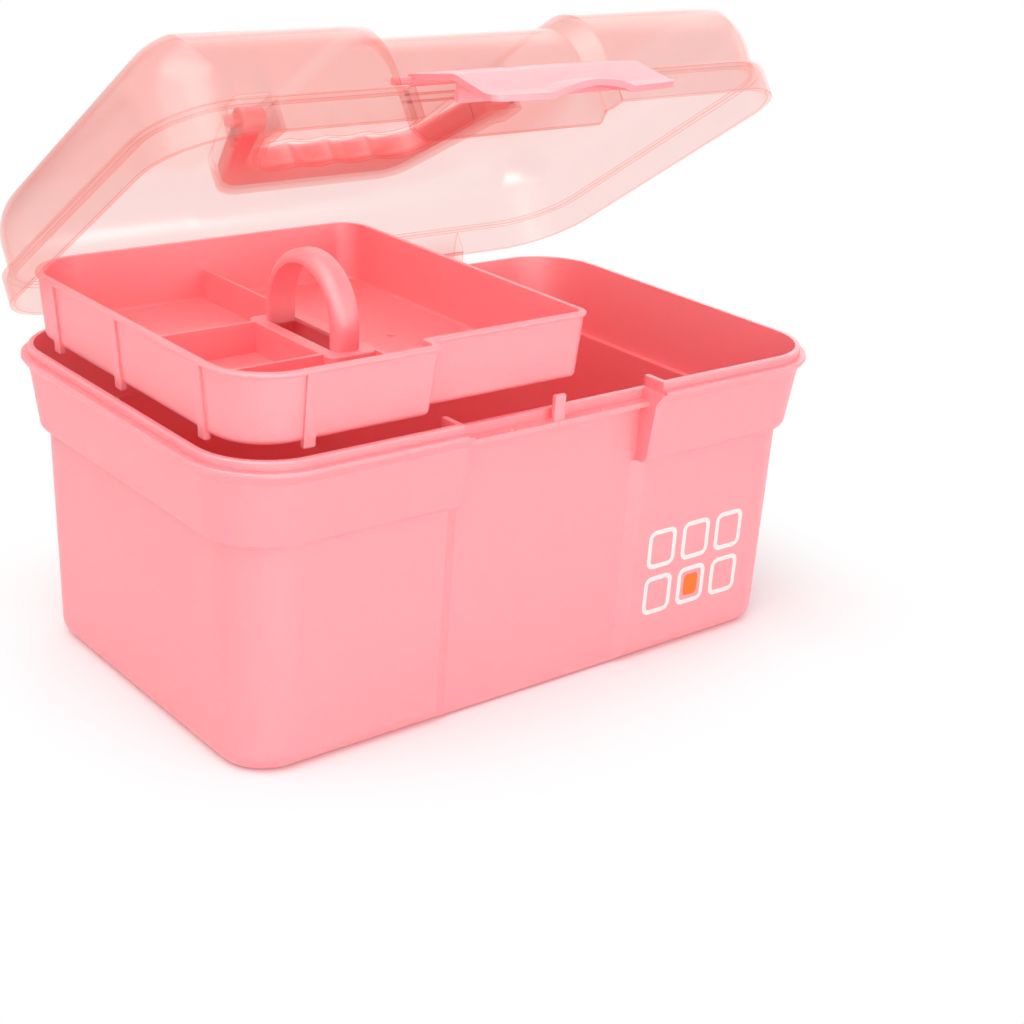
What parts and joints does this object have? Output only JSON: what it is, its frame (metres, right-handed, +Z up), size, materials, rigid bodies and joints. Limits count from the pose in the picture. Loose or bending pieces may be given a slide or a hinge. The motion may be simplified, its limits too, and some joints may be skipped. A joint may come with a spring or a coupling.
{
  "type": "storage box with handle",
  "caption": "Pink plastic storage box with a clear hinged lid, a front latch flap, a fold-down carry handle and a lift-out compartment tray.",
  "frame": {"origin": "centre of the base's flat underside", "axes": "+X along the box's length, to the right seen from the front; +Y to the back, where the hinge is; +Z up"},
  "size_m": [0.3, 0.2084, 0.263],
  "materials": {
    "pink_plastic": "satin moulded polypropylene, pink",
    "clear_pink_plastic": "translucent moulded polypropylene, pale pink",
    "print_white": "white printing ink",
    "print_orange": "orange printing ink"
  },
  "bodies": {
    "base": {"base_box": "pink_plastic"},
    "lid": {"lid": "clear_pink_plastic"},
    "latch": {"latch": "pink_plastic"},
    "handle": {"carry_handle": "pink_plastic"},
    "tray": {"inner_tray": "pink_plastic"}
  },
  "joints": [
    {"name": "lid_hinge", "type": "hinge", "parent": "base", "child": "lid", "pos_m": [0, 0.106, 0.1195], "axis": [-1, 0, 0], "range_deg": [-33.5, 71.5]},
    {"name": "latch_hinge", "type": "hinge", "parent": "lid", "child": "latch", "pos_m": [0, -0.04224, 0.2464], "axis": [-1, 0, 0], "range_deg": [-58, 57]},
    {"name": "handle_hinge", "type": "hinge", "parent": "lid", "child": "handle", "pos_m": [0, 0.04099, 0.21877], "axis": [1, 0, 0], "range_deg": [0, 90]},
    {"name": "tray_lift", "type": "slide", "parent": "base", "child": "tray", "axis": [0, 0, 1], "range_m": [-0.0339, 0.0724]}
  ],
  "couplings": [
    {"joint": "tray_lift", "follows": "lid_hinge", "m_per_rad": 0.05798}
  ]
}
